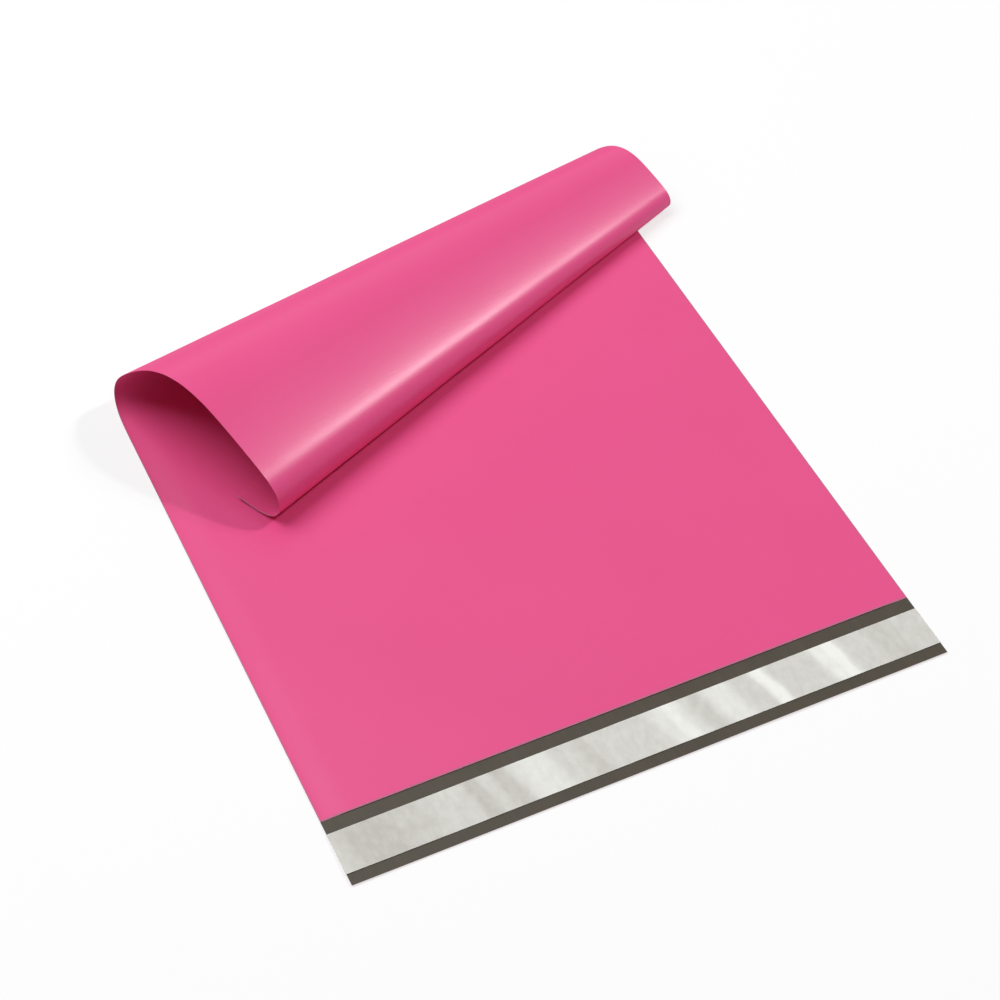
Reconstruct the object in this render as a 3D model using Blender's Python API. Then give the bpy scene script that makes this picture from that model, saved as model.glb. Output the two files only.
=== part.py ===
"""A poly mailer: one bag of thin film, with a strip of glue and its release liner on the flap.

The bag is first laid out flat, as a pattern with u across its width, v from the mouth to the
closed end and w through its thickness. Its closed end is then curled over, as film that was kept
rolled up does. Every bend line of the curl runs through one point, the apex, so the film bends
without stretching and the curl is wider at its left end than at its right.

The part lies on its back panel. +X runs along the mouth, +Y from the mouth to the closed end and
+Z up. The origin is on the underside, below the middle of the place for an address label.
"""

import math

import bmesh
import bpy
import numpy as np

# Bag, in metres
MAILER_WIDTH = 0.305
FRONT_LENGTH = 0.4713
FLAP_DEPTH = 0.0367
FILM_THICKNESS = 0.0000635
POCKET_GAP = 0.0003
SIDE_SEAL = 0.004
SEAL_SLOPE = 0.009
LABEL_FROM_MOUTH = 0.140

# Closing strip on the flap, in metres
LINER_FROM_MOUTH = 0.0062
LINER_WIDTH = 0.0230
LINER_THICKNESS = 0.00008
GLUE_WIDTH = 0.0170
GLUE_THICKNESS = 0.00006
LAY_GAP = 0.0003

# Curl. The apex is measured from the right-hand edge and from the closed end, in metres.
APEX_BEYOND_EDGE = 0.2840
APEX_BEFORE_END = 0.0661
NOSE_CLEARANCE = 0.0003

# Bends, in degrees. A place is the angle at the apex from the line along the mouth, and a spread
# is how far to each side of its place a bend reaches.
BACK_BEND_PLACE = -11.8
BACK_BEND_SPREAD = 2.7
BACK_BEND_TURN = 133.5
CROWN_BEND_PLACE = -5.7
CROWN_BEND_SPREAD = 5.8
NOSE_BEND_PLACE = 3.3
NOSE_BEND_SPREAD = 3.0
TAIL_RISE = 7.0

# Mesh
BEND_ROWS = 84
EVEN_SHARE = 0.15
CURL_STEPS = 600
SHARP_ANGLE = 30.0

# The search for the crown's turn, in degrees
LEAST_CROWN_TURN = 20.0
MOST_CROWN_TURN = 160.0
HALVINGS = 24

BAG_LENGTH = FLAP_DEPTH + FRONT_LENGTH
APEX_U = MAILER_WIDTH + APEX_BEYOND_EDGE
APEX_V = BAG_LENGTH - APEX_BEFORE_END
FULL_TURN = 360.0


def clear_scene():
    for thing in list(bpy.data.objects):
        bpy.data.objects.remove(thing)


def surface(name, colour, roughness):
    """A plain material of one colour."""
    material = bpy.data.materials.new(name)
    material.use_nodes = True
    shader = material.node_tree.nodes["Principled BSDF"]
    shader.inputs["Base Color"].default_value = (*colour, 1.0)
    shader.inputs["Roughness"].default_value = roughness
    shader.inputs["Metallic"].default_value = 0.0
    return material


def hump(angle, place, spread):
    """A smooth rise and fall of area 1 about a place, in 1 over degrees."""
    offset = np.clip((angle - place) / spread, -1.0, 1.0)
    return (1.0 + np.cos(math.pi * offset)) / (2.0 * spread)


def bend_rate(angle, crown_turn):
    """How far the film turns for each degree at the apex. The nose makes up the rest of the full turn."""
    nose_turn = FULL_TURN + TAIL_RISE - BACK_BEND_TURN - crown_turn
    return (
        BACK_BEND_TURN * hump(angle, BACK_BEND_PLACE, BACK_BEND_SPREAD)
        + crown_turn * hump(angle, CROWN_BEND_PLACE, CROWN_BEND_SPREAD)
        + nose_turn * hump(angle, NOSE_BEND_PLACE, NOSE_BEND_SPREAD)
    )


def curl_angles():
    """Angles at the apex, in small steps from the first bend to the last."""
    first = min(BACK_BEND_PLACE - BACK_BEND_SPREAD, CROWN_BEND_PLACE - CROWN_BEND_SPREAD)
    last = max(NOSE_BEND_PLACE + NOSE_BEND_SPREAD, CROWN_BEND_PLACE + CROWN_BEND_SPREAD)
    return np.linspace(first, last, CURL_STEPS)


def curl_frames(crown_turn):
    """Directions of the bend line, of the film across it and of the film's upper side, at each angle."""
    angles = curl_angles()
    start = math.radians(angles[0])
    along = np.array([-math.cos(start), math.sin(start), 0.0])
    across = np.array([math.sin(start), math.cos(start), 0.0])
    frame = np.array([along, across, [0.0, 0.0, 1.0]])
    step = math.radians(angles[1] - angles[0])
    rates = bend_rate((angles[1:] + angles[:-1]) / 2.0, crown_turn)
    frames = [frame]
    for rate in rates:
        spin = np.array([[0.0, 1.0, 0.0], [-1.0, 0.0, rate], [0.0, -rate, 0.0]]) * step
        size = math.hypot(1.0, rate) * step
        turn = np.eye(3) + math.sin(size) / size * spin
        turn += (1.0 - math.cos(size)) / size**2 * spin @ spin
        frame = turn @ frame
        frames.append(frame)
    return np.array(frames)


def nose_slope(crown_turn):
    """Height of the nose's lowest bend line above the table, for each metre from the apex."""
    heights = curl_frames(crown_turn)[:, 0, 2]
    return heights[np.argmax(heights) :].min()


def crown_turn_at_rest():
    """The crown's turn that brings the nose down to the front panel, found by halving a range."""
    bag_thickness = 2.0 * FILM_THICKNESS + POCKET_GAP
    wanted = (bag_thickness + NOSE_CLEARANCE) / APEX_BEYOND_EDGE
    low, high = LEAST_CROWN_TURN, MOST_CROWN_TURN
    for _ in range(HALVINGS):
        middle = (low + high) / 2.0
        if nose_slope(middle) > wanted:
            low = middle
        else:
            high = middle
    return (low + high) / 2.0


class Curl:
    """Carries a point of the flat pattern to its place on the curled film."""

    def __init__(self):
        self.turn = crown_turn_at_rest()
        self.angles = curl_angles()
        self.frames = curl_frames(self.turn)

    def bend_lines(self):
        """Angles of the bend lines, closer together where the film turns more."""
        turned = np.cumsum(bend_rate(self.angles, self.turn))
        evenly = np.arange(CURL_STEPS) / CURL_STEPS
        progress = turned / turned[-1] + EVEN_SHARE * evenly
        wanted = np.linspace(progress[0], progress[-1], BEND_ROWS)
        return np.interp(wanted, progress, self.angles)

    def carry(self, u, v, w):
        """(x, y, z) of a pattern point, with z from the table."""
        to_u, to_v = APEX_U - u, v - APEX_V
        angle = math.degrees(math.atan2(to_v, to_u))
        if angle <= self.angles[0]:
            point = np.array([u, v, w])
        else:
            reach = math.hypot(to_u, to_v)
            along = self._at(angle, 0)
            if angle > self.angles[-1]:
                rest = math.radians(angle - self.angles[-1])
                along = math.cos(rest) * along + math.sin(rest) * self._at(angle, 1)
            point = np.array([APEX_U, APEX_V, 0.0]) + reach * along + w * self._at(angle, 2)
        return point - np.array([MAILER_WIDTH / 2.0, LABEL_FROM_MOUTH, 0.0])

    def _at(self, angle, which):
        direction = [np.interp(angle, self.angles, self.frames[:, which, k]) for k in range(3)]
        return np.array(direction) / np.linalg.norm(direction)


def pocket_gap(u):
    """The walls are welded at the sides, and lie a little apart between the welds."""
    from_side = min(u, MAILER_WIDTH - u) - SIDE_SEAL
    return POCKET_GAP * min(max(from_side / SEAL_SLOPE, 0.0), 1.0)


class BagPattern:
    """The bag as a grid of pattern points: rows run across it and columns from mouth to closed end."""

    def __init__(self, curl):
        self.curl = curl
        self.mesh = bmesh.new()
        self.found = {}
        inner = SIDE_SEAL + SEAL_SLOPE
        self.columns = [0.0, SIDE_SEAL, inner]
        self.columns += [MAILER_WIDTH - inner, MAILER_WIDTH - SIDE_SEAL, MAILER_WIDTH]
        self.lines = [math.tan(math.radians(angle)) for angle in curl.bend_lines()]
        self.rows = len(self.lines) + 3

    def row_v(self, row, u, pocket):
        """Where a row crosses the column at u. Rows 0 and 1 are the mouth and the front panel's edge."""
        if row == 0:
            return 0.0
        if row == 1:
            return FLAP_DEPTH
        if row == self.rows - 1:
            return BAG_LENGTH - (FILM_THICKNESS if pocket else 0.0)
        return APEX_V + (APEX_U - u) * self.lines[row - 2]

    def corner(self, row, column, layer):
        """The vertex of a layer: 0 and 1 are the outer and inner faces of the back panel, 2 and 3 the inner
        and outer faces of the front panel."""
        u = self.columns[column]
        gap = pocket_gap(u)
        if layer == 2 and gap == 0.0:
            layer = 1
        v = self.row_v(row, u, pocket=layer in (1, 2))
        w = (0.0, FILM_THICKNESS, FILM_THICKNESS + gap, 2.0 * FILM_THICKNESS + gap)[layer]
        key = (row, column, layer)
        if key not in self.found:
            self.found[key] = self.mesh.verts.new(self.curl.carry(u, v, w))
        return self.found[key]

    def face(self, *corners):
        """A face through the corners. Corners that fall together, at the pocket's ends, are taken once."""
        vertices = list(dict.fromkeys(self.corner(*corner) for corner in corners))
        if len(vertices) > 2:
            self.mesh.faces.new(vertices)

    def panel(self, layer, rows, columns):
        for row in rows:
            for column in columns:
                self.face(
                    (row, column, layer),
                    (row, column + 1, layer),
                    (row + 1, column + 1, layer),
                    (row + 1, column, layer),
                )

    def edge_across(self, row, columns, low, high):
        for column in columns:
            self.face(
                (row, column, low),
                (row, column + 1, low),
                (row, column + 1, high),
                (row, column, high),
            )

    def edge_along(self, column):
        self.face((0, column, 0), (1, column, 0), (1, column, 1), (0, column, 1))
        self.face((1, column, 0), (2, column, 0), (2, column, 3), (1, column, 3), (1, column, 1))
        for row in range(2, self.rows - 1):
            self.face(
                (row, column, 0),
                (row + 1, column, 0),
                (row + 1, column, 3),
                (row, column, 3),
            )

    def build(self):
        last = self.rows - 1
        across = range(len(self.columns) - 1)
        between_seals = across[1:-1]
        self.panel(0, range(last), across)
        self.panel(1, range(1), across)
        self.panel(1, range(1, last), between_seals)
        self.panel(2, range(1, last), between_seals)
        self.panel(3, range(1, last), across)
        self.edge_across(0, across, 0, 1)
        self.edge_across(1, (across[0], across[-1]), 1, 3)
        self.edge_across(1, between_seals, 2, 3)
        self.edge_across(last, across, 0, 3)
        self.edge_across(last, between_seals, 1, 2)
        self.edge_along(0)
        self.edge_along(len(self.columns) - 1)
        bmesh.ops.recalc_face_normals(self.mesh, faces=self.mesh.faces)
        return self.mesh


def add_object(name, mesh, material):
    """Puts a finished mesh into the scene under its name."""
    data = bpy.data.meshes.new(name)
    mesh.to_mesh(data)
    mesh.free()
    data.materials.append(material)
    thing = bpy.data.objects.new(name, data)
    bpy.context.scene.collection.objects.link(thing)
    return thing


def add_bag():
    """Back panel, front panel and flap are one web, folded at the closed end and welded at the sides."""
    pink = surface("pink_film", (0.82, 0.10, 0.29), 0.35)
    bag = add_object("mailer_bag", BagPattern(Curl()).build(), pink)
    bag.data.shade_smooth()
    bag.data.set_sharp_from_angle(angle=math.radians(SHARP_ANGLE))
    return bag


def add_flap_strip(name, from_mouth, width, base, thickness, material):
    """A flat strip along the whole flap, its underside at a height above the table."""
    mesh = bmesh.new()
    bmesh.ops.create_cube(mesh, size=1.0)
    bmesh.ops.scale(mesh, vec=(MAILER_WIDTH, width, thickness), verts=mesh.verts)
    centre = (0.0, from_mouth + width / 2.0 - LABEL_FROM_MOUTH, base + thickness / 2.0)
    bmesh.ops.translate(mesh, vec=centre, verts=mesh.verts)
    return add_object(name, mesh, material)


def main():
    clear_scene()
    add_bag()
    glue_base = FILM_THICKNESS + LAY_GAP
    liner_base = glue_base + GLUE_THICKNESS + LAY_GAP
    glue_from_mouth = LINER_FROM_MOUTH + (LINER_WIDTH - GLUE_WIDTH) / 2.0
    glue = surface("hot_melt_glue", (0.80, 0.78, 0.70), 0.5)
    paper = surface("release_liner", (0.76, 0.77, 0.72), 0.3)
    add_flap_strip("glue_strip", glue_from_mouth, GLUE_WIDTH, glue_base, GLUE_THICKNESS, glue)
    add_flap_strip("release_liner", LINER_FROM_MOUTH, LINER_WIDTH, liner_base, LINER_THICKNESS, paper)


main()
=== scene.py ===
# %% [markdown]
# # A poly mailer
#
# A poly mailer is a bag of thin, satin plastic film for posting clothes and other soft things. It
# is one web of film: pink outside, dark grey inside, folded once at the closed end and welded
# along both sides. The back panel is longer than the front one, and what it has over is the flap.
# A strip of glue lies across the flap, under a glossy release liner that is peeled off last.
#
# This lesson dresses the plain part. The bag, the glue and the liner are built again as finer
# surfaces in the same places, and each gets its finish. All lengths are in metres and all angles
# in degrees, apart from the few places that say otherwise.

# %% Load the plain part
import math

import bmesh
import bpy
import numpy as np
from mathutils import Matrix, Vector


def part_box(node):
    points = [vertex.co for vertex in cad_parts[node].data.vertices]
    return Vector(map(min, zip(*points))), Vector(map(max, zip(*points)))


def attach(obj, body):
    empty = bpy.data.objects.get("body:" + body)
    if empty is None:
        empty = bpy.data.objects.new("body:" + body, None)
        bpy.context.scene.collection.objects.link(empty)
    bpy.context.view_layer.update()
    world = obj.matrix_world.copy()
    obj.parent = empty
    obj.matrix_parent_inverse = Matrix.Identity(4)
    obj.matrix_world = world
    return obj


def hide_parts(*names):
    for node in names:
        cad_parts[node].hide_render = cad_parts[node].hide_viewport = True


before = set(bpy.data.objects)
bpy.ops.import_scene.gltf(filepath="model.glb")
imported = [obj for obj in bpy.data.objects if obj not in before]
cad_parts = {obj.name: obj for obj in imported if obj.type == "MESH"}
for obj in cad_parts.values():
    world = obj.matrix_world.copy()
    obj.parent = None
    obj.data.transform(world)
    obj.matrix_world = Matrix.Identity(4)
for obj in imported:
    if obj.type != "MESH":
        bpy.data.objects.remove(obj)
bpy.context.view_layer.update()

# %% [markdown]
# ## The flat pattern
#
# Film hardly stretches, so the easiest way to get a curled bag right is to lay it out flat first.
# A point of the pattern has three numbers: u across the bag, v from the mouth towards the closed
# end and w through the thickness, up from the outer face of the back panel. The width and the
# liner's place are read from the plain part, so that the finer pieces stay where it has them. The
# film's gauge, the gap of the pocket, the weld at each side and the depth of the flap are written
# here as numbers, because a box can't tell them.

# %% Sizes of the pattern
liner_low, liner_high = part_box("release_liner")
glue_low, glue_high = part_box("glue_strip")
bag_low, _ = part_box("mailer_bag")
WIDTH = liner_high.x - liner_low.x
MOUTH_Y = bag_low.y
FILM = 0.0000635
POCKET_GAP = 0.0003
SEAL = 0.004
SEAL_SLOPE = 0.009
FLAP = 0.0367
FRONT = 0.4713
LENGTH = FLAP + FRONT
print("bag", round(1000 * WIDTH), "mm wide and", round(1000 * LENGTH), "mm long")

# %% [markdown]
# ## The curl
#
# The closed end has been rolled up in storage, and it springs back into a curl that is wider at
# one end than at the other. Film that isn't stretched bends only along straight lines, and here
# they all run through one point, the apex. So the curl is a piece of a cone.
#
# On such a cone it is enough to say how fast the film turns at each angle round the apex. Three
# soft humps do it: the bend at the back, the long crown on top and the tight nose in front. Each
# has its place and spread as angles at the apex, and its turn. The crown's turn isn't given: it is
# found below, so that the nose comes to rest on the front panel. A small frame of three directions
# is carried through the turns, and every point follows it.

# %% The bends of the curl
APEX_U = WIDTH + 0.2840
APEX_V = LENGTH - 0.0661
BACK_BEND = dict(place=-11.8, spread=2.7, turn=133.5)
CROWN_BEND = dict(place=-5.7, spread=5.8)
NOSE_BEND = dict(place=3.3, spread=3.0)
ALL_TURNS = 360.0 + 7.0
NOSE_CLEARANCE = 0.0003
CROWN_TURN_RANGE = (20.0, 160.0)
HALVINGS = 24
CURL_START = BACK_BEND["place"] - BACK_BEND["spread"]
CURL_END = NOSE_BEND["place"] + NOSE_BEND["spread"]
STEP_ANGLES = np.linspace(CURL_START, CURL_END, 600)


def hump(angle, place, spread):
    """(1 + cos(pi t)) / (2 spread), where t is the distance to the place over the spread, up to 1."""
    offset = np.clip((angle - place) / spread, -1.0, 1.0)
    return (1.0 + np.cos(math.pi * offset)) / (2.0 * spread)


def bend_rate(angle, crown_turn):
    """Degrees of turn for each degree at the apex: the sum of the three humps, each times its turn."""
    nose_turn = ALL_TURNS - BACK_BEND["turn"] - crown_turn
    back = BACK_BEND["turn"] * hump(angle, BACK_BEND["place"], BACK_BEND["spread"])
    crown = crown_turn * hump(angle, CROWN_BEND["place"], CROWN_BEND["spread"])
    nose = nose_turn * hump(angle, NOSE_BEND["place"], NOSE_BEND["spread"])
    return back + crown + nose


def carried_frames(crown_turn):
    """The frame at each angle: along the bend line, across it and out of the film.

    Each step turns it about the axis (rate, 0, 1) in its own directions, by Rodrigues' formula.
    """
    start = math.radians(CURL_START)
    frame_now = np.array(
        [
            [-math.cos(start), math.sin(start), 0.0],
            [math.sin(start), math.cos(start), 0.0],
            [0.0, 0.0, 1.0],
        ]
    )
    step = math.radians(STEP_ANGLES[1] - STEP_ANGLES[0])
    frames = [frame_now]
    for rate in bend_rate((STEP_ANGLES[1:] + STEP_ANGLES[:-1]) / 2.0, crown_turn):
        spin = np.array([[0.0, 1.0, 0.0], [-1.0, 0.0, rate], [0.0, -rate, 0.0]]) * step
        size = math.hypot(1.0, rate) * step
        turn = np.eye(3) + math.sin(size) / size * spin
        turn += (1.0 - math.cos(size)) / size**2 * spin @ spin
        frame_now = turn @ frame_now
        frames.append(frame_now)
    return np.array(frames)


def crown_turn_at_rest():
    """The crown's turn at which the nose lies on the front panel, found by halving a range.

    A bend line with direction d ends at a height of reach times the z of d, so the lowest z past
    the crown is set against the height of the front panel over the shortest reach.
    """
    wanted = (2.0 * FILM + POCKET_GAP + NOSE_CLEARANCE) / (APEX_U - WIDTH)
    low, high = CROWN_TURN_RANGE
    for _ in range(HALVINGS):
        middle = (low + high) / 2.0
        heights = carried_frames(middle)[:, 0, 2]
        if heights[np.argmax(heights) :].min() > wanted:
            low = middle
        else:
            high = middle
    return (low + high) / 2.0


CROWN_TURN = crown_turn_at_rest()
FRAMES = carried_frames(CROWN_TURN)
print("the crown turns", round(CROWN_TURN, 1), "degrees of", ALL_TURNS)

# %% [markdown]
# The function `carry` does all the placing. It takes whole arrays of pattern points at once. Where
# the angle is before the first bend, the film is flat. Past the last bend it is flat again, and
# the frame of the last step carries it on.


# %% Carry the pattern into space
def apex_angle(u, v):
    """The angle at the apex, in degrees: the arc tangent of the steps to the apex along v and u."""
    return np.degrees(np.arctan2(v - APEX_V, APEX_U - u))


def frame_at(angle, which):
    """One direction of the carried frame at each angle, read between the steps and made unit length."""
    parts = [np.interp(angle, STEP_ANGLES, FRAMES[:, which, axis]) for axis in range(3)]
    found = np.stack(parts, axis=-1)
    return found / np.linalg.norm(found, axis=-1, keepdims=True)


def carry(u, v, w):
    """Apex plus reach times the bend line's direction plus w times the film's own direction."""
    u, v, w = np.broadcast_arrays(u, v, w)
    angle = apex_angle(u, v)
    reach = np.hypot(APEX_U - u, v - APEX_V)[..., None]
    past = np.radians(np.clip(angle - CURL_END, 0.0, None))[..., None]
    along = np.cos(past) * frame_at(angle, 0) + np.sin(past) * frame_at(angle, 1)
    curled = np.array([APEX_U, APEX_V, 0.0]) + reach * along + w[..., None] * frame_at(angle, 2)
    flat = np.stack([u, v, w], axis=-1)
    placed = np.where((angle <= CURL_START)[..., None], flat, curled)
    return placed - np.array([WIDTH / 2.0, -MOUTH_Y, 0.0])


closed_end = carry(WIDTH / 2.0, LENGTH, 0.0)
print("the closed end lies", round(1000 * closed_end[2], 1), "mm above the table in its middle")

# %% [markdown]
# ## Uneven film
#
# Real film is never quite flat. It keeps faint swells from the roll it came on, and the edge of
# the mouth lifts a hair. These heights are added to w, and every layer takes the same ones, so the
# layers never cut through each other. On the flat part they are never negative, because the table
# is below.
#
# Between the crown and the nose the bends leave a flat strip. Real film bulges there by a few
# tenths of a millimetre, so a highlight on the nose fades out upwards and doesn't stop at a line.
# On the curl w points inwards, so this crest is negative.


# %% Swells, the crest and the lifted mouth
def swells(across, along, wavelength, seed, count=14):
    """A smooth field from 0 to 1: sines of about one wavelength in all directions, added and squeezed."""
    chance = np.random.default_rng(seed)
    total = np.zeros(np.broadcast(across, along).shape)
    for _ in range(count):
        heading, phase = chance.uniform(0.0, 2.0 * math.pi, 2)
        length = wavelength * chance.uniform(0.7, 1.6)
        way = across * math.cos(heading) + along * math.sin(heading)
        total = total + np.sin(2.0 * math.pi * way / length + phase)
    return 0.5 + 0.5 * np.tanh(total / math.sqrt(count))


FLAT_SWELL = 0.00010
FLAT_WAVELENGTH = 0.085
CURL_SWELL = 0.00022
CURL_WAVELENGTH = 0.075
CURL_RADIUS = 0.35
CURL_FADE = 4.0
CREST_RISE = -0.0009
CREST_PLACE = 0.2
CREST_SPREAD = 2.7
MOUTH_LIFT = 0.0008
MOUTH_LIFT_DEPTH = 0.055
MOUTH_WAVELENGTH = 0.16
STEADY_LIFT = 0.45


def curl_swells(angle, reach):
    """Swells over the curl: across it the arc at a fixed radius, along it the reach."""
    arc = np.radians(angle) * CURL_RADIUS
    return swells(arc, reach, CURL_WAVELENGTH, seed=8)


def mouth_lift(u, v):
    """A parabola that falls to nothing at its depth, partly steady and partly swells along the mouth."""
    near_mouth = np.clip(1.0 - v / MOUTH_LIFT_DEPTH, 0.0, 1.0) ** 2
    wander = (1.0 - STEADY_LIFT) * swells(u, 0.0 * v, MOUTH_WAVELENGTH, seed=5)
    return MOUTH_LIFT * near_mouth * (STEADY_LIFT + wander)


def unevenness(u, v):
    """Flat swells that give way to the curl's own, plus the crest, a hump in the angle, plus the lift."""
    angle = apex_angle(u, v)
    reach = np.hypot(APEX_U - u, v - APEX_V)
    on_curl = np.clip((angle - CURL_START) / CURL_FADE, 0.0, 1.0)
    flat = FLAT_SWELL * (1.0 - on_curl) * swells(u, v, FLAT_WAVELENGTH, seed=3)
    curl = CURL_SWELL * on_curl * curl_swells(angle, reach)
    crest = CREST_RISE * reach * CREST_SPREAD * hump(angle, CREST_PLACE, CREST_SPREAD)
    return flat + curl + crest + mouth_lift(u, v)


crest_height = -CREST_RISE * (APEX_U - WIDTH / 2.0)
print("the crest stands", round(1000 * crest_height, 2), "mm high in the middle of the bag")

# %% [markdown]
# ## From grids to a closed shell
#
# The bag is a set of grids, such as the outside of the back, the inside of the flap and the thin
# cut edges between them. Grids that meet have the same points along the line where they meet. One
# helper joins such grids into one closed mesh: points that fall together become one, and faces
# that lose corners in this way become triangles or vanish.


# %% Join grids into a mesh
KEYS_PER_METRE = 1e7
SHARP_ANGLE = 30.0


def grid_faces(rows, columns):
    """Corner numbers of a grid's quads, counted along its rows."""
    first = (np.arange(rows - 1)[:, None] * columns + np.arange(columns - 1)[None, :]).ravel()
    return np.stack([first, first + 1, first + columns + 1, first + columns], axis=-1)


def join_grids(name, grids, materials):
    """One object from grids of (points, pattern places, material number), closed where they meet.

    Each point gets a key, its place in whole tenths of a micrometre, and points with one key join.
    """
    points, places, faces, slots, count = [], [], [], [], 0
    for grid, place, slot in grids:
        rows, columns = grid.shape[:2]
        points.append(grid.reshape(-1, 3))
        places.append(place.reshape(-1, 2))
        faces.append(grid_faces(rows, columns) + count)
        slots.append(np.full(len(faces[-1]), slot))
        count += rows * columns
    points, places = np.concatenate(points), np.concatenate(places)
    faces, slots = np.concatenate(faces), np.concatenate(slots)
    keys = np.round(points * KEYS_PER_METRE).astype(np.int64)
    _, first, same = np.unique(keys, axis=0, return_index=True, return_inverse=True)
    joined = same.reshape(-1)[faces]
    corners = [tuple(dict.fromkeys(face)) for face in joined.tolist()]
    kept = [index for index, face in enumerate(corners) if len(face) > 2]
    mesh = bpy.data.meshes.new(name)
    mesh.from_pydata(points[first].tolist(), [], [corners[index] for index in kept])
    for material in materials:
        mesh.materials.append(material)
    mesh.polygons.foreach_set("material_index", slots[kept].astype(np.int32))
    pattern = mesh.uv_layers.new(name="pattern")
    loops = np.empty(len(mesh.loops), np.int32)
    mesh.loops.foreach_get("vertex_index", loops)
    pattern.uv.foreach_set("vector", places[first][loops].astype(np.float32).ravel())
    return finished_object(name, mesh)


def finished_object(name, mesh):
    """Turns the faces outwards, shades them smoothly between sharp edges and adds the object."""
    work = bmesh.new()
    work.from_mesh(mesh)
    bmesh.ops.recalc_face_normals(work, faces=work.faces)
    open_edges = sum(1 for edge in work.edges if not edge.is_manifold)
    work.to_mesh(mesh)
    work.free()
    mesh.shade_smooth()
    mesh.set_sharp_from_angle(angle=math.radians(SHARP_ANGLE))
    piece = bpy.data.objects.new(name, mesh)
    bpy.context.scene.collection.objects.link(piece)
    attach(piece, "root")
    print(name, len(mesh.polygons), "faces,", open_edges, "open edges")
    return piece


# %% [markdown]
# ## Finishes
#
# A node tree is easiest to read as a small set of helpers, such as one that adds a node with its
# values and one that adds a noise on the pattern's own coordinates. That noise follows the film
# round the curl, as marks on real film do. The values of a noise lie mostly between 0.3 and 0.7,
# so another helper stretches that part to the range that a finish needs.


# %% Helpers for materials
NOISE_RANGE = (0.3, 0.7)
MIX_FIRST_COLOUR, MIX_SECOND_COLOUR, MIXED_COLOUR = 6, 7, 2


def new_material(name, colour, roughness, ior=1.5):
    """A material with its Principled shader set to plain values, and its tree."""
    material = bpy.data.materials.new(name)
    material.use_nodes = True
    shader = material.node_tree.nodes["Principled BSDF"]
    shader.inputs["Base Color"].default_value = (*colour, 1.0)
    shader.inputs["Roughness"].default_value = roughness
    shader.inputs["IOR"].default_value = ior
    return material, material.node_tree, shader


def add_node(tree, kind, **values):
    """A node with its input values set by name, and its properties where no input has that name."""
    node = tree.nodes.new(kind)
    for name, value in values.items():
        label = name.replace("_", " ")
        sockets = [s for s in node.inputs if s.name.lower() == label.lower()]
        if sockets:
            sockets[0].default_value = value
        else:
            setattr(node, name, value)
    return node


def pattern_noise(tree, scale, detail=3.0, stretch=(1.0, 1.0, 1.0), roughness=0.5):
    """Noise on the pattern's coordinates in metres, so a scale of 100 has lumps of about 10 mm."""
    place = add_node(tree, "ShaderNodeUVMap", uv_map="pattern")
    spread = add_node(tree, "ShaderNodeMapping", Scale=stretch)
    noise = add_node(tree, "ShaderNodeTexNoise", Scale=scale, Detail=detail, Roughness=roughness)
    tree.links.new(place.outputs["UV"], spread.inputs["Vector"])
    tree.links.new(spread.outputs["Vector"], noise.inputs["Vector"])
    return noise.outputs["Fac"]


def remap(tree, value, low, high, to_low, to_high, curve="LINEAR"):
    """Moves a value from one range to another, and keeps it inside the second."""
    node = add_node(
        tree,
        "ShaderNodeMapRange",
        interpolation_type=curve,
        From_Min=low,
        From_Max=high,
        To_Min=to_low,
        To_Max=to_high,
    )
    tree.links.new(value, node.inputs["Value"])
    return node.outputs["Result"]


def stretched(tree, noise, to_low, to_high):
    """The main part of a noise's values, stretched to a range."""
    return remap(tree, noise, *NOISE_RANGE, to_low, to_high)


def combined(tree, operation, first, second):
    """The sum, product or larger one of two values."""
    node = add_node(tree, "ShaderNodeMath", operation=operation)
    tree.links.new(first, node.inputs[0])
    tree.links.new(second, node.inputs[1])
    return node.outputs["Value"]


def add_tones(tree, shader, factor, tones):
    """Colours the shader between two tones, by a factor from 0 to 1."""
    node = tree.nodes.new("ShaderNodeMix")
    node.data_type = "RGBA"
    node.inputs[MIX_FIRST_COLOUR].default_value = (*tones[0], 1.0)
    node.inputs[MIX_SECOND_COLOUR].default_value = (*tones[1], 1.0)
    tree.links.new(factor, node.inputs[0])
    tree.links.new(node.outputs[MIXED_COLOUR], shader.inputs["Base Color"])


def add_bump(tree, shader, height, strength, distance, after=None):
    """A bump on the shader, on top of an earlier one where that is given."""
    bump = add_node(tree, "ShaderNodeBump", Strength=strength, Distance=distance)
    tree.links.new(height, bump.inputs["Height"])
    if after is not None:
        tree.links.new(after.outputs["Normal"], bump.inputs["Normal"])
    tree.links.new(bump.outputs["Normal"], shader.inputs["Normal"])
    return bump


# %% [markdown]
# ### Pink film
#
# The outside layer is dyed through and has a satin skin: its highlights are soft and a little
# pearly, and its colour barely changes over the sheet. Faint clouds in the tone and in the
# roughness, and a very fine orange-peel bump, are nearly all it needs.
#
# A smooth skin would mirror the white room as a pale rim where it is seen at a slant, and the dull
# skin of real film doesn't. So its roughness grows with Layer Weight's Facing, which is 0 where
# the film faces the viewer and 1 where it is seen edge on.


# %% Make the pink film
PINK_TONES = ((0.795, 0.084, 0.258), (0.805, 0.088, 0.266))
SATIN_ROUGHNESS = (0.277, 0.293)
SLANT_STARTS, SLANT_ENDS = 0.35, 0.78
SLANT_ROUGHNESS = 0.6


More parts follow.
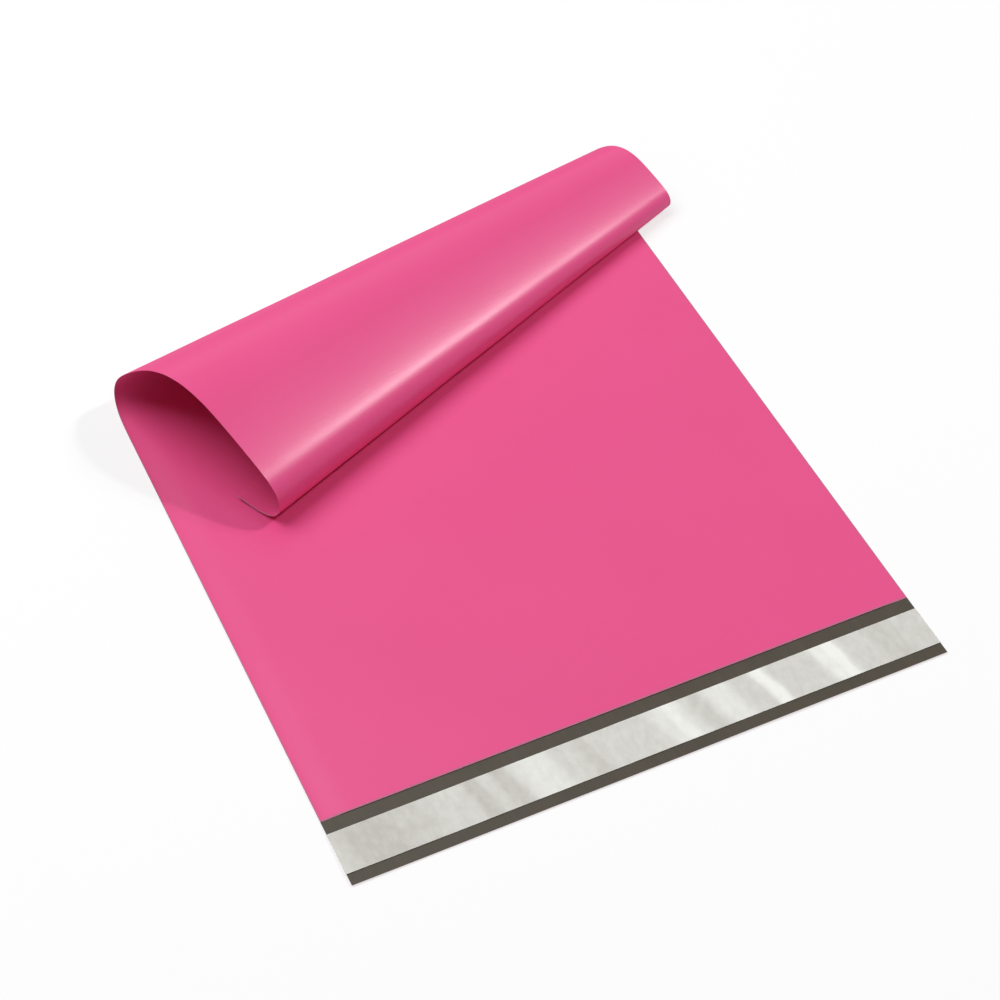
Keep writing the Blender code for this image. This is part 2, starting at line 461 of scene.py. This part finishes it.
def pink_film():
    """Pink with faint clouds, satin, duller at a slant, with a soft and a fine bump."""
    material, tree, shader = new_material("pink_film", (0.80, 0.086, 0.262), 0.285, ior=1.36)
    clouds = pattern_noise(tree, 14.0, detail=2.0)
    add_tones(tree, shader, stretched(tree, clouds, 0.0, 1.0), PINK_TONES)
    satin = stretched(tree, pattern_noise(tree, 300.0, detail=3.0), *SATIN_ROUGHNESS)
    facing = tree.nodes.new("ShaderNodeLayerWeight").outputs["Facing"]
    slanted = remap(tree, facing, SLANT_STARTS, SLANT_ENDS, 0.0, SLANT_ROUGHNESS, curve="SMOOTHSTEP")
    tree.links.new(combined(tree, "ADD", satin, slanted), shader.inputs["Roughness"])
    soft = add_bump(tree, shader, pattern_noise(tree, 90.0, detail=2.0), 0.03, 0.0004)
    add_bump(tree, shader, pattern_noise(tree, 950.0, detail=3.0), 0.3, 0.00010, after=soft)
    return material


# %% [markdown]
# ### Dark inside film
#
# The inside layer is recycled grey, so that nothing shows through. It shows on the flap, above and
# below the liner. Its tone is an olive grey with faint lines along the web, left by the die.


# %% Make the dark film
DARK_TONES = ((0.058, 0.048, 0.033), (0.067, 0.055, 0.039))
LINES_AND_CLOUDS_RANGE = (0.15, 0.35)


def dark_film():
    """Olive grey, its tone the product of lines along the web and clouds, with a very fine bump."""
    material, tree, shader = new_material("dark_film", (0.062, 0.051, 0.036), 0.42, ior=1.35)
    lines = pattern_noise(tree, 30.0, detail=3.0, stretch=(12.0, 0.6, 1.0))
    clouds = pattern_noise(tree, 60.0, detail=3.0)
    both = combined(tree, "MULTIPLY", lines, clouds)
    add_tones(tree, shader, remap(tree, both, *LINES_AND_CLOUDS_RANGE, 0.0, 1.0), DARK_TONES)
    add_bump(tree, shader, pattern_noise(tree, 900.0, detail=2.0), 0.10, 0.00005)
    return material


# %% [markdown]
# ### Cut edges
#
# Along the sides, which the hot knife cuts and welds, and along the mouth, which a blade cuts, a
# thin line of painted shade lies on the film's edge. It is half a millimetre wide at the sides and
# a little more at the mouth, and its tone is a dull, uneven pink.


# %% Make the painted shade line of the cut edges
# Tones of the painted shade line along the cut edges.
EDGE_SHADE_TONES = ((0.42, 0.135, 0.225), (0.54, 0.155, 0.255))


def edge_shade_film():
    """Painted shade along the cut edges: dull pink in small patches."""
    material, tree, shader = new_material("edge_shade_film", (0.48, 0.145, 0.24), 0.4, ior=1.35)
    shade_patches = pattern_noise(tree, 700.0, detail=2.0)
    add_tones(tree, shader, stretched(tree, shade_patches, 0.0, 1.0), EDGE_SHADE_TONES)
    return material


# %% [markdown]
# ### Release liner
#
# The liner is a thin silicone-coated film. It is glossy, nearly white with a silver cast, and it
# lies in small waves across the strip. The bright and grey bars where the waves catch the light
# are painted reflections in its colour: how bright each place is comes from an attribute of
# painted reflection bars, which the piece itself carries and which is worked out with its shape
# below. A mottle is added to it.


# %% Make the liner's finish
# Grey and white of the painted reflections on the liner.
LINER_REFLECTION_TONES = ((0.53, 0.515, 0.47), (0.94, 0.945, 0.90))
LINER_ROUGHNESS = (0.14, 0.26)
MOTTLE = 0.12


def liner_film():
    """Between grey and white by the painted reflection bars plus a mottle, glossy, with fine creases."""
    material, tree, shader = new_material("release_liner_film", (0.72, 0.73, 0.69), 0.2)
    reflection_bars = add_node(tree, "ShaderNodeAttribute", attribute_name="reflection_bars").outputs["Fac"]
    mottle = pattern_noise(tree, 200.0, detail=5.0, stretch=(1.3, 0.8, 1.0), roughness=0.6)
    both = combined(tree, "ADD", reflection_bars, stretched(tree, mottle, -MOTTLE, MOTTLE))
    add_tones(tree, shader, both, LINER_REFLECTION_TONES)
    gloss = stretched(tree, pattern_noise(tree, 70.0), *LINER_ROUGHNESS)
    tree.links.new(gloss, shader.inputs["Roughness"])
    creases = pattern_noise(tree, 160.0, detail=5.0, roughness=0.6)
    add_bump(tree, shader, creases, 0.18, 0.0003)
    return material


# %% [markdown]
# ### Glue
#
# Hot-melt glue is a pale yellow and looks like stiff honey. The nozzles lay it down along the
# strip, so its streaks run that way. The liner covers it until the bag is closed.


# %% Make the glue's finish
GLUE_TONES = ((0.74, 0.70, 0.57), (0.82, 0.79, 0.68))


def hot_melt_glue():
    """Pale yellow streaks along the strip, which are also its bump."""
    material, tree, shader = new_material("hot_melt_glue", (0.78, 0.74, 0.62), 0.35)
    flow = pattern_noise(tree, 220.0, detail=3.0, stretch=(0.4, 1.5, 1.0))
    add_tones(tree, shader, stretched(tree, flow, 0.0, 1.0), GLUE_TONES)
    add_bump(tree, shader, flow, 0.4, 0.0001)
    return material


# %% Make the materials once
PINK = pink_film()
DARK = dark_film()
LINER = liner_film()
GLUE = hot_melt_glue()
EDGE_SHADE = edge_shade_film()
print("finishes:", ", ".join(finish.name for finish in (PINK, DARK, LINER, GLUE, EDGE_SHADE)))

# %% [markdown]
# ## The bag
#
# Columns of the grid run from the mouth to the closed end. They are closer together in the welds
# at the sides. Rows run across the bag. Over the flat part they fan out slowly until they lie
# along the bend lines, and over the curl each row is a bend line, with more of them where the film
# turns more. A small even share keeps some rows where it hardly turns.

# %% Columns and rows of the bag
POCKET_SHOWN = 0.06
# Widths of the painted shade line at the sides and at the mouth.
CUT_LINE = 0.0005
MOUTH_CUT_LINE = 0.0009
BEAD_HEIGHT = 0.00010
BEAD_PLACE = 0.00035
BEAD_WIDTH = 0.0002
EVEN_SHARE = 0.25
EDGE_COLUMNS = [0.0, 0.0002, CUT_LINE, 0.0009, 0.002, SEAL]
inner_edge = SEAL + SEAL_SLOPE
side_columns = EDGE_COLUMNS + list(np.linspace(SEAL, inner_edge, 6)[1:])
middle_columns = np.linspace(inner_edge, WIDTH - inner_edge, 90)[1:-1]
U = np.concatenate([side_columns, middle_columns, WIDTH - np.array(side_columns[::-1])])
SEAL_COLUMN = EDGE_COLUMNS.index(SEAL)
CUT_COLUMN = EDGE_COLUMNS.index(CUT_LINE)
print("the bag has", len(U), "columns")


def body_rows(u, flat_rows=70, bend_rows=190, tail_rows=14):
    """v of every row at each column: a share of the way to the first bend line, or the bend line.

    A bend line at an angle a crosses the column u at v = apex v + tan(a) (apex u - u).
    """
    turned = np.cumsum(bend_rate(STEP_ANGLES, CROWN_TURN))
    evenly = np.arange(len(STEP_ANGLES)) / len(STEP_ANGLES)
    progress = turned / turned[-1] + EVEN_SHARE * evenly
    wanted = np.linspace(progress[0], progress[-1], bend_rows)
    angles = np.interp(wanted, progress, STEP_ANGLES)
    bends = APEX_V + np.tan(np.radians(angles))[:, None] * (APEX_U - u)[None, :]
    before = np.linspace(0.0, 1.0, flat_rows)[:-1, None]
    after = np.linspace(0.0, 1.0, tail_rows)[1:, None]
    flat = FLAP + (bends[0] - FLAP) * before
    tail = bends[-1] + (LENGTH - bends[-1]) * after
    return np.concatenate([flat, bends, tail])


def pocket_gap(u):
    """Nothing in the welds, then a straight slope up to the gap of the pocket."""
    from_side = np.minimum(u, WIDTH - u) - SEAL
    return POCKET_GAP * np.clip(from_side / SEAL_SLOPE, 0.0, 1.0)


def weld_bead(u):
    """The hot knife leaves a thin bead along each side: exp(-t^2) about its place, times its height."""
    from_side = np.minimum(u, WIDTH - u)
    return BEAD_HEIGHT * np.exp(-(((from_side - BEAD_PLACE) / BEAD_WIDTH) ** 2))


def layer(u, v, w, slot):
    """A grid of the bag at a height in the pattern, with its pattern places and material."""
    u, v, w = np.broadcast_arrays(u, v, w)
    return carry(u, v, w + unevenness(u, v)), np.stack([u, v], axis=-1), slot


# %% [markdown]
# The grids below are the faces of the folded web, in the order in which a finger would meet them:
# the outside of the back, the inside of the flap, the outside of the front, the mouth of the
# pocket, and last the cut edges that are one film thick. The pocket is shown to a finger's depth.
# The first row of the front and the two columns at each side of it are the painted shade line.


# %% Build the bag
def build_bag():
    """Grids at the heights of the film's faces, from 0 to two films, the gap and the weld's bead."""
    flap_v = np.linspace(0.0, FLAP, 12)[:, None]
    body_v = body_rows(U)
    body_v = np.concatenate([body_v[:1], body_v[:1] + MOUTH_CUT_LINE, body_v[1:]])
    pocket_u = U[SEAL_COLUMN : len(U) - SEAL_COLUMN]
    pocket_v = np.linspace(FLAP, FLAP + POCKET_SHOWN, 10)[:, None]
    under = np.zeros_like(U)
    between = np.full_like(U, FILM)
    top = 2.0 * FILM + pocket_gap(U) + weld_bead(U)
    pocket_floor = np.full_like(pocket_u, FILM)
    pocket_roof = FILM + pocket_gap(pocket_u)
    outside, inside, cut = 0, 1, 2
    face = slice(CUT_COLUMN, len(U) - CUT_COLUMN)
    grids = [
        layer(U, flap_v, 0.0, outside),
        layer(U, body_v, 0.0, outside),
        layer(U, flap_v, FILM, inside),
        layer(U, body_v[:2], top, cut),
        layer(U[face], body_v[1:, face], top[face], outside),
        layer(pocket_u, pocket_v, FILM, inside),
        layer(pocket_u, pocket_v, pocket_roof, inside),
        layer(pocket_u, pocket_v[-1:], np.stack([pocket_floor, pocket_roof]), inside),
        layer(U, 0.0, np.array([[0.0], [FILM]]), inside),
        layer(pocket_u, FLAP, np.stack([pocket_roof, pocket_roof + FILM]), inside),
        layer(U, LENGTH, np.stack([under, between]), outside),
        layer(U, LENGTH, np.stack([between, top]), outside),
    ]
    left_cut, right_cut = slice(0, CUT_COLUMN + 1), slice(len(U) - CUT_COLUMN - 1, None)
    for edge, column, line in ((0.0, 0, left_cut), (WIDTH, -1, right_cut)):
        edge_v = body_v[:, column][:, None]
        back = np.array([[0.0, FILM]])
        front = np.array([[FILM, top[column]]])
        grids.append(layer(U[line], body_v[1:, line], top[line], cut))
        grids.append(layer(edge, flap_v, back, inside))
        grids.append(layer(edge, edge_v, back, outside))
        grids.append(layer(edge, edge_v, front, outside))
    for weld in (slice(0, SEAL_COLUMN + 1), slice(len(U) - SEAL_COLUMN - 1, None)):
        grids.append(layer(U[weld], FLAP, np.stack([between[weld], top[weld]]), inside))
    bag = join_grids("bag_film", grids, [PINK, DARK, EDGE_SHADE])
    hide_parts("mailer_bag")
    return bag


build_bag()

# %% [markdown]
# ## Glue and liner
#
# Both are flat strips across the whole flap. The glue is squeezed out a little unevenly along its
# edges. The liner lies on it in low waves, each a soft ridge across the strip that leans a little.
# Its bars of painted reflection are a list: each has its place across the bag and its half
# width, both in millimetres, and how much brighter or darker it is than the level between them.

# %% Waves and painted reflection bars of the liner
LINER_THICKNESS = 0.00008
GLUE_THICKNESS = 0.00006
GLUE_BASE = FILM + 0.00003
LINER_BASE = GLUE_BASE + GLUE_THICKNESS + 0.00004
WAVE_HEIGHT = 0.00022
WAVE_LEAN = 0.25
WAVE_STEADINESS = 0.25
SHORT_WAVE, SHORT_SHARE = 0.024, 0.45
LONG_WAVE, LONG_SHARE = 0.07, 0.55


def liner_waves(u, v):
    """Short swells along the strip, leaning by a share of v, with longer ones below them."""
    leaned = u + WAVE_LEAN * v
    short = swells(leaned, WAVE_STEADINESS * v, SHORT_WAVE, seed=11)
    long = swells(leaned, WAVE_STEADINESS * v, LONG_WAVE, seed=12)
    return WAVE_HEIGHT * (SHORT_SHARE * short + LONG_SHARE * long)


# Painted reflection bars: how far they wander, the level between them, and each bar.
BAR_WANDER = 1.6
BAR_WANDER_WAVELENGTH = 0.02
LINER_REFLECTION_LEVEL = 0.36
LINER_REFLECTION_BARS = [
    (18.0, 15.0, -0.30),
    (40.0, 9.0, -0.14),
    (71.0, 4.0, -0.26),
    (85.5, 4.5, -0.22),
    (101.0, 9.0, 0.34),
    (126.0, 4.0, -0.16),
    (170.0, 9.0, 0.34),
    (172.0, 3.5, 0.16),
    (185.0, 4.0, -0.12),
    (197.0, 7.0, 0.36),
    (219.5, 4.0, 0.64),
    (254.0, 7.0, 0.50),
    (257.5, 2.5, 0.30),
    (283.5, 7.0, -0.15),
    (300.0, 4.0, -0.06),
]


def painted_reflection_bars(u, v):
    """Painted reflection: the level plus each bar's brightness times exp(-t^4), t the distance over the
    half width.
    """
    across = 1000.0 * (u + WAVE_LEAN * (v - FLAP / 2.0))
    across = across + BAR_WANDER * (swells(u, v, BAR_WANDER_WAVELENGTH, seed=31) - 0.5)
    total = LINER_REFLECTION_LEVEL + 0.0 * across
    for place, half_width, brighter in LINER_REFLECTION_BARS:
        total = total + brighter * np.exp(-(((across - place) / half_width) ** 4))
    return np.clip(total, 0.0, 1.0)


print("the liner has", len(LINER_REFLECTION_BARS), "reflection_bars")


def add_field(piece, name, field):
    """Stores a field of the pattern's u and v on every corner, where the piece's material reads it."""
    mesh = piece.data
    places = np.empty(2 * len(mesh.loops), np.float32)
    mesh.uv_layers["pattern"].uv.foreach_get("vector", places)
    u, v = places.reshape(-1, 2).T.astype(float)
    values = mesh.attributes.new(name, "FLOAT", "CORNER")
    values.data.foreach_set("value", field(u, v).astype(np.float32))


# %% [markdown]
# A strip is two grids, its under and its upper face, and four narrow ones between their edges. It
# rides on the same uneven film as the flap, at its own height above it.


# %% Build the liner and the glue
LINER_POINTS = (420, 30)
GLUE_POINTS = (240, 8)
GLUE_WANDER = 0.0006
GLUE_WAVELENGTH = 0.012


def strip(name, u, v, base, thickness, waves, material):
    """A closed strip from an upper and a lower grid and four edges between them."""
    height = unevenness(u, v) + base + waves
    low, high = carry(u, v, height), carry(u, v, height + thickness)
    place = np.stack(np.broadcast_arrays(u, v), axis=-1)
    grids = [(low, place, 0), (high, place, 0)]
    for cut in (np.s_[:1], np.s_[-1:], np.s_[:, :1], np.s_[:, -1:]):
        edge = np.stack([low[cut].reshape(-1, 3), high[cut].reshape(-1, 3)])
        grids.append((edge, np.stack([place[cut].reshape(-1, 2)] * 2), 0))
    return join_grids(name, grids, [material])


def build_liner():
    """An even grid over the liner's place, with waves, and with its painted reflection bars as an
    attribute.
    """
    along_u = np.linspace(0.0, WIDTH, LINER_POINTS[0])
    along_v = np.linspace(liner_low.y, liner_high.y, LINER_POINTS[1]) - MOUTH_Y
    u, v = np.meshgrid(along_u, along_v)
    piece = strip("liner_strip", u, v, LINER_BASE, LINER_THICKNESS, liner_waves(u, v), LINER)
    add_field(piece, "reflection_bars", painted_reflection_bars)
    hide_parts("release_liner")
    return piece


def build_glue():
    """A grid whose half width is that of the plain glue less swells along the strip."""
    along_u = np.linspace(0.0, WIDTH, GLUE_POINTS[0])
    u, share = np.meshgrid(along_u, np.linspace(0.0, 1.0, GLUE_POINTS[1]))
    middle_v = (glue_low.y + glue_high.y) / 2.0 - MOUTH_Y
    squeezed = GLUE_WANDER * swells(u, 0.0 * u, GLUE_WAVELENGTH, seed=21)
    half_width = (glue_high.y - glue_low.y) / 2.0 - squeezed
    v = middle_v + half_width * (2.0 * share - 1.0)
    piece = strip("glue_film", u, v, GLUE_BASE, GLUE_THICKNESS, 0.0 * u, GLUE)
    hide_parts("glue_strip")
    return piece


build_liner()
build_glue()

# %% [markdown]
# ## The table
#
# The table is white. To the camera it gives a part of its white by itself, so that it stays white
# in the picture and still keeps the shadows. Further out it gives all of it, and runs into the
# white room without an edge.

# %% Table
TABLE_DEPTH = 0.0004
TABLE_SIZE = 8.0
TABLE_GLOW = 0.65
GLOW_REACH = (0.5, 1.6)
WHITE = (1.0, 1.0, 1.0, 1.0)


def seen_directly(tree):
    """1 for rays from the camera and for mirrored and refracted ones, and 0 for all others."""
    path = tree.nodes.new("ShaderNodeLightPath")
    seen = path.outputs["Is Camera Ray"]
    for name in ("Is Glossy Ray", "Is Transmission Ray"):
        seen = combined(tree, "MAXIMUM", seen, path.outputs[name])
    return seen


def white_table():
    """White paint mixed with a white glow. The glow's share grows with the distance from the bag."""
    material = bpy.data.materials.new("white_table")
    material.use_nodes = True
    tree = material.node_tree
    tree.nodes.clear()
    paint = add_node(tree, "ShaderNodeBsdfDiffuse", Color=WHITE)
    glow = add_node(tree, "ShaderNodeEmission", Color=WHITE, Strength=1.0)
    place = tree.nodes.new("ShaderNodeTexCoord")
    away = add_node(tree, "ShaderNodeVectorMath", operation="LENGTH")
    tree.links.new(place.outputs["Object"], away.inputs[0])
    glowing = remap(tree, away.outputs["Value"], *GLOW_REACH, TABLE_GLOW, 1.0)
    mix = tree.nodes.new("ShaderNodeMixShader")
    output = tree.nodes.new("ShaderNodeOutputMaterial")
    tree.links.new(combined(tree, "MULTIPLY", seen_directly(tree), glowing), mix.inputs[0])
    tree.links.new(paint.outputs["BSDF"], mix.inputs[1])
    tree.links.new(glow.outputs["Emission"], mix.inputs[2])
    tree.links.new(mix.outputs["Shader"], output.inputs["Surface"])
    return material


def build_table():
    """One square a little below the bag, so that their faces never fall together."""
    half = TABLE_SIZE / 2.0
    corners = [(-half, -half), (half, -half), (half, half), (-half, half)]
    mesh = bpy.data.meshes.new("table_top")
    mesh.from_pydata([(x, y, -TABLE_DEPTH) for x, y in corners], [], [(0, 1, 2, 3)])
    mesh.materials.append(white_table())
    table = bpy.data.objects.new("table_top", mesh)
    bpy.context.scene.collection.objects.link(table)
    print("the table is", TABLE_SIZE, "m wide")


build_table()

# %% [markdown]
# ## The room and the lamps
#
# The camera sees a white room, but the room lights the bag only faintly. Most of the light comes
# from lamps. A large soft one hangs above and a little behind. Two small ones stand far away at
# the right, where the nose of the curl mirrors them as one long streak. The smaller they are, the
# sharper the streak, and the second one widens it upwards.

# %% The room
DOME_LIGHT = 0.14
world = bpy.data.worlds.new("white_room")
bpy.context.scene.world = world
world.use_nodes = True
room = world.node_tree
background = room.nodes["Background"]
background.inputs["Color"].default_value = WHITE
brightness = remap(room, seen_directly(room), 0.0, 1.0, DOME_LIGHT, 1.0)
room.links.new(brightness, background.inputs["Strength"])
print("the room lights the bag with", DOME_LIGHT, "of the white that the camera sees")

# %% The lamps
LIT_POINT = (0.0, 0.06, 0.0)


def add_lamp(name, towards, distance, side, watts):
    """A square lamp at a distance from the lit point in a direction, with its back to that way."""
    lamp = bpy.data.lights.new(name, "AREA")
    lamp.shape = "RECTANGLE"
    lamp.size = side
    lamp.size_y = side
    lamp.energy = watts
    holder = bpy.data.objects.new(name, lamp)
    direction = np.array(towards) / np.linalg.norm(towards)
    holder.location = np.array(LIT_POINT) + distance * direction
    holder.rotation_euler = Vector(direction).to_track_quat("Z", "Y").to_euler()
    bpy.context.scene.collection.objects.link(holder)
    print(name, watts, "W, at", [round(float(part), 2) for part in holder.location])


add_lamp("soft_lamp_above", (-0.29, 0.32, 0.90), 2.4, 1.8, 43.0)
add_lamp("streak_lamp_right", (0.655, -0.132, 0.744), 4.0, 0.24, 44.0)
add_lamp("streak_lamp_far_right", (0.714, -0.070, 0.697), 4.0, 0.30, 14.0)

# %% [markdown]
# ## The camera
#
# The camera looks down on the bag from in front and a little from the left, with a long lens. Its
# place and turn were worked out from the four corners of the flat part in the picture.

# %% Camera
CAMERA_PLACE = (-0.3384, -0.6930, 0.9280)
CAMERA_DOWN = 49.09
CAMERA_TURN = 24.97
LENS_MM = 88.7
SENSOR_MM = 36.0

camera_data = bpy.data.cameras.new("camera")
camera_data.sensor_width = SENSOR_MM
camera_data.lens = LENS_MM
camera = bpy.data.objects.new("camera", camera_data)
camera.location = CAMERA_PLACE
camera.rotation_euler = (math.radians(90.0 - CAMERA_DOWN), 0.0, math.radians(-CAMERA_TURN))
bpy.context.scene.collection.objects.link(camera)
bpy.context.scene.camera = camera
bpy.context.scene.view_settings.view_transform = "Standard"
print("camera at", CAMERA_PLACE, "with a lens of", LENS_MM, "mm")
